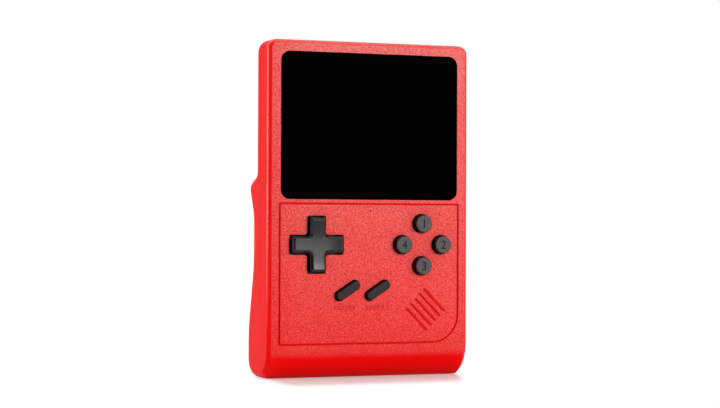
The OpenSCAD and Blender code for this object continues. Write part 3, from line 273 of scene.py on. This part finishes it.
def grained_part(tree, height, depth):
    reach = remap(tree, height, FOOT_BEND, GRAIN_REACH)
    face = remap(tree, depth, (FACE_SKIN, reach), (1, 0), smooth=True)
    top = remap(tree, height, TOP_CHAMFER, (0, TOP_GRAIN))
    top = maths(tree, "MULTIPLY", top, remap(tree, depth, TOP_DEPTH, (1, 0)))
    return maths(tree, "MAXIMUM", face, top)


# The paler line along the chamfer's outer edge is a painted highlight, which fades towards the bottom
def worn_line(tree, height, depth, highlight_strength):
    off_edge = maths(tree, "ABSOLUTE", maths(tree, "SUBTRACT", depth, EDGE_DEPTH))
    line = remap(tree, off_edge, EDGE_WIDTH, (highlight_strength, 0), smooth=True)
    return maths(tree, "MULTIPLY", line, remap(tree, height, EDGE_FADE))


def red_abs(name, sheen_low, sheen_high, edge_highlight, rest):
    material, tree = new_material(name)
    place = add(tree, "ShaderNodeTexCoord").outputs["Object"]
    x, y, height = add(tree, "ShaderNodeSeparateXYZ", {0: place}).outputs
    depth = maths(tree, "SUBTRACT", y, FACE_Y)
    grain = noise(tree, place, GRAIN, 2, 0.6)
    grained = grained_part(tree, height, depth)
    pit = maths(tree, "MULTIPLY", remap(tree, grain, GRAIN_SPREAD, (-0.5, 0.5)), grained)
    deep = blend(tree, maths(tree, "ADD", pit, 0.5), PIT_RED, PEAK_RED)
    speck = remap(tree, grain, GRAIN_SPREAD, SPECKS)
    # Painted sheen: a paler red that grows towards the top of the face and weakens at the left edge
    painted_sheen = remap(tree, height, SHEEN_HEIGHTS, (sheen_low, sheen_high))
    painted_sheen = maths(tree, "MULTIPLY", painted_sheen, remap(tree, x, SHEEN_LEFT_EDGE, (SHEEN_AT_LEFT, 1)))
    face = maths(tree, "MULTIPLY", painted_sheen, grained)
    pale = maths(tree, "ADD", face, worn_line(tree, height, depth, edge_highlight))
    pale = maths(tree, "ADD", maths(tree, "MULTIPLY", pale, speck), rest)
    patch = remap(tree, noise(tree, place, CLOUD, 2), CLOUD_SPREAD, PATCHES)
    pale = maths(tree, "MULTIPLY", pale, patch, clamp=True)
    relief = maths(tree, "MULTIPLY", grain, grained)
    bump = add(tree, "ShaderNodeBump", {"Strength": 0.4, "Distance": GRAIN_RELIEF, "Height": relief})
    surface(tree, {"Base Color": blend(tree, pale, deep, PAINTED_SHEEN_RED), "IOR": ABS_IOR,
                   "Roughness": remap(tree, grained, target=RED_ROUGH),
                   "Specular IOR Level": RED_SPECULAR, "Normal": bump.outputs[0]})
    return material


# The front gets the painted sheen and the painted edge highlight; the rear gets neither
red_front = red_abs("red ABS, spark-eroded face", 0.15, 0.485, 0.5, 0)
red_rear = red_abs("red ABS, satin", 0, 0, 0, 0.01)
print("two red finishes")

# %% [markdown]
# ## Dark plastics
# The window is black-backed acrylic with a polished front. The rocker is black ABS, semi-gloss, and the
# pill keys and side controls are the same plastic with a satin skin. The round keys are charcoal ABS.
# Each keeps a slight mottle, as thin mould wear does, so that none is one flat tone.
# On the keys and side controls, the walls that turn away from the front are painted darker, as shade.

# %% Dark plastics
# How far a face turns from the front, by its normal's Y, from the full grey to the painted shade of the walls
WALL_SHADE_TURN = (-0.97, -0.6)


def plastic(name, low, high, rough, ior, mottle, specular=0.5, relief=0.02):
    material, tree = new_material(name)
    cloud = noise(tree, add(tree, "ShaderNodeTexCoord").outputs["Object"], mottle, 3)
    bump = add(tree, "ShaderNodeBump", {"Strength": 0.2, "Distance": relief * MM, "Height": cloud})
    surface(tree, {"Base Color": blend(tree, cloud, hex_colour(low), hex_colour(high)), "IOR": ior,
                   "Roughness": remap(tree, cloud, target=(rough * 0.9, rough * 1.1)),
                   "Specular IOR Level": specular, "Normal": bump.outputs[0]})
    return material


def worn_key(name, shaded_wall, low, high, rough, specular):
    """The faces towards the front keep the plastic's grey, and the walls that turn away are painted darker,
    as shade.
    """
    material = plastic(name, low, high, rough, ABS_IOR, 0.6 * MM, specular)
    tree = material.node_tree
    shader = next(node for node in tree.nodes if node.type == "BSDF_PRINCIPLED")
    normal = add(tree, "ShaderNodeNewGeometry").outputs["Normal"]
    facing = add(tree, "ShaderNodeSeparateXYZ", {0: normal}).outputs["Y"]
    grey = shader.inputs["Base Color"].links[0].from_socket
    colour = blend(tree, remap(tree, facing, WALL_SHADE_TURN, (1, 0)), hex_colour(shaded_wall), grey)
    tree.links.new(colour, shader.inputs["Base Color"])
    return material


acrylic = plastic("black-backed acrylic", "#000000", "#010101", 0.06, 1.49, 30 * MM, specular=0.001, relief=0)
black_abs = plastic("black ABS, semi-gloss", "#0A0A0B", "#0F0F10", 0.18, ABS_IOR, 4 * MM, specular=0.31,
                    relief=0)
satin_abs = worn_key("black ABS, satin", "#070505", "#1A1313", "#231A1A", 0.5, 0.18)
charcoal_abs = worn_key("charcoal ABS, satin", "#080606", "#484545", "#524F4F", 0.5, 0.16)
print("four dark plastics")

# %% [markdown]
# ## Materials of the inner and rear pieces
# Out of the picture, but seen when the door swings or the console is turned: plated steel, gilt contacts,
# the battery's shrink wrap, green board, silicone domes and felt. The same recipe makes the plastics, and
# metals have their own.


# %% Metals and inner materials
def metal(name, low, high, rough, streak):
    material, tree = new_material(name)
    cloud = noise(tree, add(tree, "ShaderNodeTexCoord").outputs["Object"], streak, 4)
    surface(tree, {"Base Color": blend(tree, cloud, hex_colour(low), hex_colour(high)), "Metallic": 1,
                   "Roughness": remap(tree, cloud, target=(rough * 0.8, rough * 1.2))})
    return material


finishes = {
    red_front: ["front_shell"],
    red_rear: ["rear_shell", "battery_door"],
    acrylic: ["screen_lens"],
    black_abs: ["rocker"],
    satin_abs: ["select_key", "start_key", "left_shoulder_key", "right_shoulder_key", "power_slider",
                "volume_wheel"],
    charcoal_abs: ["key_top", "key_right", "key_bottom", "key_left"],
    metal("nickel-plated steel", "#B8B6B0", "#D2D0CA", 0.32, 0.4 * MM): [
        "usb_socket", "card_socket", "power_switch", "shoulder_switches", "speaker_frame", "crystal",
        "case_screws", "board_screws"],
    metal("gilt bronze", "#C79A3A", "#E2BC62", 0.28, 0.4 * MM): ["battery_contacts"],
    plastic("shrink-wrapped battery", "#C9CBD0", "#D6D8DC", 0.3, 1.5, 2 * MM): ["battery"],
    plastic("green solder mask", "#0E5A34", "#14693D", 0.35, 1.5, 1.2 * MM): [
        "main_board", "shoulder_boards"],
    plastic("black epoxy", "#161616", "#202020", 0.55, 1.55, 0.4 * MM): ["processor_chip", "memory_chips"],
    plastic("fired ceramic", "#A07A4E", "#B48C5E", 0.5, 1.6, 0.4 * MM): ["board_capacitors"],
    plastic("clear resin", "#E8E2B4", "#F2ECC4", 0.15, 1.5, 0.4 * MM): ["status_led"],
    plastic("black nylon", "#151515", "#1E1E1E", 0.5, 1.53, 0.5 * MM): [
        "av_jack", "volume_control", "memory_card"],
    plastic("cream nylon", "#D9D0B8", "#E4DCC6", 0.5, 1.53, 0.5 * MM): ["ribbon_socket", "contact_block"],
    plastic("polyimide film", "#B86A1C", "#C87A28", 0.3, 1.6, 1.5 * MM): ["lcd_ribbon"],
    plastic("display glass", "#20262B", "#252C31", 0.08, 1.52, 20 * MM, relief=0): ["lcd_panel"],
    plastic("white light guide", "#E8EAEC", "#F0F2F4", 0.3, 1.49, 8 * MM): ["lcd_backlight"],
    plastic("black foam", "#1C1C1C", "#2A2A2A", 0.9, 1.5, 0.3 * MM, relief=0.1): ["lcd_gasket", "lcd_pad"],
    plastic("black adhesive", "#101010", "#171717", 0.6, 1.5, 1 * MM): ["lens_tape"],
    plastic("grey silicone", "#8E8E8C", "#9A9A98", 0.55, 1.41, 0.8 * MM): [
        "rocker_membrane", "key_membrane", "pill_membrane"],
    plastic("acetal", "#E6E4DA", "#EFEDE4", 0.35, 1.48, 0.8 * MM): ["rocker_pivot"],
    plastic("red felt", "#C80B10", "#E0141A", 0.95, 1.5, 0.15 * MM, specular=0.1, relief=0.1): [
        "speaker_felt"],
    plastic("black cone film", "#1A1A1B", "#242425", 0.5, 1.5, 0.6 * MM): ["speaker_cone"],
    plastic("red wire sleeve", "#A81418", "#B81C20", 0.45, 1.5, 0.6 * MM): ["speaker_leads"],
}
dressed = [name for names in finishes.values() for name in names]
for material, names in finishes.items():
    for name in names:
        if name in nodes:
            nodes[name].data.materials.clear()
            nodes[name].data.materials.append(material)
print(len(finishes), "finishes on", len(dressed), "nodes; left over:", sorted(set(nodes) - set(dressed)))

# %% [markdown]
# ## Softened edges
# No moulded edge is perfectly sharp, and it is the small rounds that catch the light. On the front shell
# and the door, the construction model's triangles are joined at their shared corners first, and then a
# bevel rounds each edge that turns by more than 25 degrees. Normals weighted by area keep the flats flat.

# %% Round the edges
JOIN = 0.002 * MM


def soften(name, width, steps=3, angle=25):
    piece = nodes[name]
    weld = piece.modifiers.new("join corners", "WELD")
    weld.merge_threshold = JOIN
    bevel = piece.modifiers.new("rounded edges", "BEVEL")
    bevel.width = width
    bevel.segments = steps
    bevel.limit_method = "ANGLE"
    bevel.angle_limit = math.radians(angle)
    bevel.use_clamp_overlap = True
    bevel.miter_outer = "MITER_ARC"
    normals = piece.modifiers.new("flat flats", "WEIGHTED_NORMAL")
    normals.mode = "FACE_AREA"
    normals.weight = 80


for name, width in {"front_shell": 0.15, "battery_door": 0.12}.items():
    soften(name, width * MM)
print("edges rounded")

# %% [markdown]
# ## The rocker's cap
# The cross is moulded with a broad bevel all round, rounded inner corners, and a shallow dish in which the
# thumb finds the middle. In the mould those are one smooth surface, so here they are rings of points: each
# ring is the cross moved in a little, and its height is the dish less the drop of the bevel. The cap ends
# inside the housing. The flange and the ball's socket below it show nowhere, so the cap has none.


# %% Rocker cap
def rounded_turn(centre, radius, first, last, steps=6):
    angles = [math.radians(first + (last - first) * k / steps) for k in range(steps + 1)]
    return [Vector((centre[0] + radius * math.cos(a), centre[1] + radius * math.sin(a))) for a in angles]


def between(start, end, steps=8):
    return [start.lerp(end, k / steps) for k in range(1, steps)]


def cross_ring(span, arm, inset, outer=0.7, inner=0.6, least=0.08):
    s, a = span - inset, arm - inset
    out_r, in_r = max(outer - inset, least), inner + inset
    quarter = rounded_turn((s - out_r, out_r - a), out_r, -90, 0)
    upper = rounded_turn((s - out_r, a - out_r), out_r, 0, 90)
    inside = rounded_turn((a + in_r, a + in_r), in_r, 270, 180)
    quarter += between(quarter[-1], upper[0]) + upper + between(upper[-1], inside[0]) + inside
    quarter += between(inside[-1], Vector((a, s - out_r)))
    return [Matrix.Rotation(math.pi / 2 * k, 2) @ p for k in range(4) for p in quarter]


def stack(mesh, rings, open_top=False):
    loops = [[mesh.verts.new(p) for p in ring] for ring in rings]
    for low, high in zip(loops, loops[1:]):
        for k in range(len(low)):
            mesh.faces.new((low[k - 1], low[k], high[k], high[k - 1]))
    ends = [list(reversed(loops[0]))] + ([] if open_top else [loops[-1]])
    bmesh.ops.triangulate(mesh, faces=[mesh.faces.new(end) for end in ends], ngon_method="EAR_CLIP")


def piece_from(mesh, name, material, body, stands_for=()):
    bmesh.ops.recalc_face_normals(mesh, faces=mesh.faces)
    data = bpy.data.meshes.new(name)
    mesh.to_mesh(data)
    mesh.free()
    data.transform(Matrix.Scale(MM, 4))
    data.shade_smooth()
    data.materials.append(material)
    piece = bpy.data.objects.new(name, data)
    bpy.context.collection.objects.link(piece)
    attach(piece, body)
    if stands_for:
        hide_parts(*stands_for)
    return piece


def crease(piece, angle=30):
    split = piece.modifiers.new("sharp edges", "EDGE_SPLIT")
    split.split_angle = math.radians(angle)


FACE_MM = FACE_Y / MM
low, high = (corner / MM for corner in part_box("rocker"))
rocker_x, rocker_z = (low.x + high.x) / 2, (low.z + high.z) / 2
ROCKER_SPAN, ROCKER_ARM, ROCKER_DISH = (high.x - low.x) / 2, 2.75, 0.6
# Depths behind the face at which the wall starts and the cap ends, and how much shorter the arms end
WALL_START, CAP_END, CAP_NECK = 1.2, 3, 2.2
# How far the dish stops from the arms' ends, the pitch of its points and their distance from its rim
DISH_EDGE, DISH_STEP, DISH_RIM = 0.6, 0.4, 0.25
# Inset from the outline and drop below the dish
BEVEL = [(0, 0.95), (0, 0.85), (0.03, 0.74), (0.1, 0.63), (0.15, 0.58),
         (0.64, 0.16), (0.7, 0.11), (0.8, 0.04), (0.92, 0), (1.02, 0)]


def cap_point(p, drop):
    dish = ROCKER_DISH * max(0, 1 - (p.length / (ROCKER_SPAN - DISH_EDGE)) ** 2)
    return Vector((rocker_x + p.x, low.y + dish + drop, rocker_z + p.y))


cap = bmesh.new()
base = [Vector((rocker_x + p.x, FACE_MM + CAP_END, rocker_z + p.y))
        for p in cross_ring(ROCKER_SPAN - CAP_NECK, ROCKER_ARM, 0)]
wall = [Vector((rocker_x + p.x, FACE_MM + WALL_START, rocker_z + p.y))
        for p in cross_ring(ROCKER_SPAN, ROCKER_ARM, 0)]
stack(cap, [base, wall] + [[cap_point(p, drop) for p in cross_ring(ROCKER_SPAN, ROCKER_ARM, inset)]
                           for inset, drop in BEVEL], open_top=True)
rim = cross_ring(ROCKER_SPAN, ROCKER_ARM, BEVEL[-1][0])
long_side, short_side = (half - BEVEL[-1][0] - DISH_RIM for half in (ROCKER_SPAN, ROCKER_ARM))
count = int(long_side / DISH_STEP)
steps = range(-count, count + 1)
inner = [Vector((i * DISH_STEP, k * DISH_STEP)) for i in steps for k in steps]
inner = [p for p in inner if min(abs(p.x), abs(p.y)) < short_side]
edges = [(k, (k + 1) % len(rim)) for k in range(len(rim))]
# Triangles inside the rim only
points, _, triangles, *_ = delaunay_2d_cdt(rim + inner, edges, [], 1, 1e-5)
dish = [cap.verts.new(cap_point(p, 0)) for p in points]
for triangle in triangles:
    cap.faces.new([dish[k] for k in triangle])
bmesh.ops.remove_doubles(cap, verts=cap.verts, dist=JOIN / MM)
rocker_cap = piece_from(cap, "rocker_cap", black_abs, "rocker", ["rocker"])
crease(rocker_cap, 50)
print("rocker cap with", len(rocker_cap.data.vertices), "points")

# %% [markdown]
# ## Felt in the speaker slots
# The felt behind the grille is glued under light pressure, so that it swells into the five slots and
# stops a little below the face: dust stays out, and the slots look like red grooves. It is the felt disc
# with five rounded ridges, each as long as its slot and a hair narrower.

# %% Speaker felt
SLOT_COUNT, SLOT_LENGTH, SLOT_WIDTH, SLOT_PITCH, SLOT_PLAY = 5, 11, 0.95, 2.29, 0.02
SLOT_TILT = math.radians(-45)
DISC_STEPS = 48
# Inset from the ridge's outline and depth behind the face
RIDGE = [(0, 1.02), (0, 0.16), (0.04, 0.11), (0.14, 0.08)]
low, high = (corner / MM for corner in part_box("speaker_felt"))
felt_x, felt_z, felt_r = (low.x + high.x) / 2, (low.z + high.z) / 2, (high.x - low.x) / 2
felt = bmesh.new()
turns = [2 * math.pi * k / DISC_STEPS for k in range(DISC_STEPS)]
disc = [Vector((felt_r * math.cos(turn), felt_r * math.sin(turn))) for turn in turns]
stack(felt, [[Vector((felt_x + p.x, y, felt_z + p.y)) for p in disc] for y in (high.y, low.y)])
for k in range(SLOT_COUNT):
    shift = Vector((0, (k - (SLOT_COUNT - 1) / 2) * SLOT_PITCH))
    rings = []
    for inset, depth in RIDGE:
        r = SLOT_WIDTH / 2 - SLOT_PLAY - inset
        run = (SLOT_LENGTH - SLOT_WIDTH) / 2
        outline = rounded_turn((run, 0), r, -90, 90) + rounded_turn((-run, 0), r, 90, 270)
        turned = [Matrix.Rotation(SLOT_TILT, 2) @ (p + shift) for p in outline]
        rings.append([Vector((felt_x + p.x, FACE_MM + depth, felt_z + p.y)) for p in turned])
    stack(felt, rings)
red_felt = bpy.data.materials["red felt"]
felt_piece = piece_from(felt, "felt_in_slots", red_felt, "housing", ["speaker_felt"])
crease(felt_piece, 40)
print("felt with five ridges")

# %% [markdown]
# ## Numbers on the round keys
# Each round key carries a mark that is sunk in the mould. Here the marks are the numbers 1 to 4, cut 0.2 mm
# deep: a number is drawn with the built-in typeface, given thickness, and taken away from the key. The faces
# of the cut take the cutter's near-black colour, darker than the key. The cutters stay hidden and ride on
# their keys.

# %% Sunk numbers
NUMBER_SIZE, NUMBER_DEPTH = 4.1, 0.22
sunk_black = plastic("sunk mark, near-black", "#1A1818", "#221F1F", 0.7, ABS_IOR, 0.3 * MM, specular=0.1)
for number, name in enumerate(["key_top", "key_right", "key_bottom", "key_left"], start=1):
    key = nodes[name]
    low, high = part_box(name)
    curve = bpy.data.curves.new(f"number {number}", "FONT")
    curve.body = str(number)
    curve.size = NUMBER_SIZE * MM
    curve.extrude = NUMBER_DEPTH * MM
    curve.align_x = "CENTER"
    drawn = bpy.data.objects.new("drawn number", curve)
    bpy.context.collection.objects.link(drawn)
    bpy.context.view_layer.update()
    data = bpy.data.meshes.new_from_object(drawn.evaluated_get(bpy.context.evaluated_depsgraph_get()))
    bpy.data.objects.remove(drawn)
    shape = bmesh.new()
    shape.from_mesh(data)
    bmesh.ops.remove_doubles(shape, verts=shape.verts, dist=JOIN / 2)
    shape.to_mesh(data)
    shape.free()
    tallest = max(v.co.y for v in data.vertices)
    data.materials.append(sunk_black)
    cutter = bpy.data.objects.new(f"number_{number}", data)
    bpy.context.collection.objects.link(cutter)
    middle = (low + high) / 2
    cutter.location = (middle.x, low.y, middle.z - tallest / 2)
    cutter.rotation_euler = (math.pi / 2, 0, 0)
    cutter.hide_render = True
    bpy.context.view_layer.update()
    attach(cutter, name)
    weld = key.modifiers.new("join corners", "WELD")
    weld.merge_threshold = JOIN
    cut = key.modifiers.new("sunk number", "BOOLEAN")
    cut.object = cutter
    cut.solver = "EXACT"
    cut.material_mode = "TRANSFER"
    crease(key)
print("four numbers, cut", NUMBER_DEPTH, "mm deep")

# %% [markdown]
# ## Captions under the pill keys
# Two short captions are pad-printed in a darker red. Without lettering they are rows of bars, six under the
# first pill and five under the second, as high as the captions are. The ink stands two hundredths of a
# millimetre proud.


# %% Printed bars
def rounded_bar(x0, x1, z0, z1, r):
    turns = [(x1 - r, z0 + r, -90), (x1 - r, z1 - r, 0), (x0 + r, z1 - r, 90), (x0 + r, z0 + r, 180)]
    return [p for x, z, first in turns for p in rounded_turn((x, z), r, first, first + 90, 3)]


INK_FROM, INK_TO, BAR_LOW, BAR_HIGH, BAR_ROUND, BAR_PART = 0.002, 0.02, 22.73, 24.27, 0.2, 0.72
ink_red = plastic("dark red ink", "#D23230", "#DA3C39", 0.6, 1.5, 0.5 * MM, specular=0.1)
for name, first, last, count in [("caption_left", -12.9, -5.0, 6), ("caption_right", -1.6, 5.5, 5)]:
    caption = bmesh.new()
    pitch = (last - first) / count
    for k in range(count):
        left = first + k * pitch
        bar = rounded_bar(left, left + BAR_PART * pitch, BAR_LOW, BAR_HIGH, BAR_ROUND)
        stack(caption, [[Vector((p.x, FACE_MM - h, p.y)) for p in bar] for h in (INK_FROM, INK_TO)])
    piece_from(caption, name, ink_red, "housing")
print("two printed captions")

# %% [markdown]
# ## The lip at the parting line
# The shells meet with a tenth of a millimetre of room. Behind such a line a housing usually has a moulded
# lip, so that no light passes. The construction model has none, so it is drawn where light would pass
# straight through: ribs in the left wall, at the line and at its step near the base, and one across the
# base. They are buried in the walls and show only through the line.

# %% Lip
SEAM, SKIRT, LIP, LIP_INSET = 9.45, 14.25, 0.7, 0.6
SIDE_HEIGHTS, STEP_HEIGHTS, BASE_HEIGHTS, BASE_ACROSS = (10, 108), (3.3, 6), (0.4, 1.2), (-32, 32)
wall_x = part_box("front_shell")[0].x / MM + LIP_INSET
left_wall = (wall_x, wall_x + LIP)
ribs = [(left_wall, SEAM, SIDE_HEIGHTS), (left_wall, SKIRT, STEP_HEIGHTS), (BASE_ACROSS, SKIRT, BASE_HEIGHTS)]
lip = bmesh.new()
for (x0, x1), depth, (z0, z1) in ribs:
    outline = [(x0, z0), (x1, z0), (x1, z1), (x0, z1)]
    ends = (FACE_MM + depth - LIP / 2, FACE_MM + depth + LIP / 2)
    stack(lip, [[Vector((x, y, z)) for x, z in outline] for y in ends])
crease(piece_from(lip, "shell_lip", red_rear, "housing"))
print("lip behind the parting line")
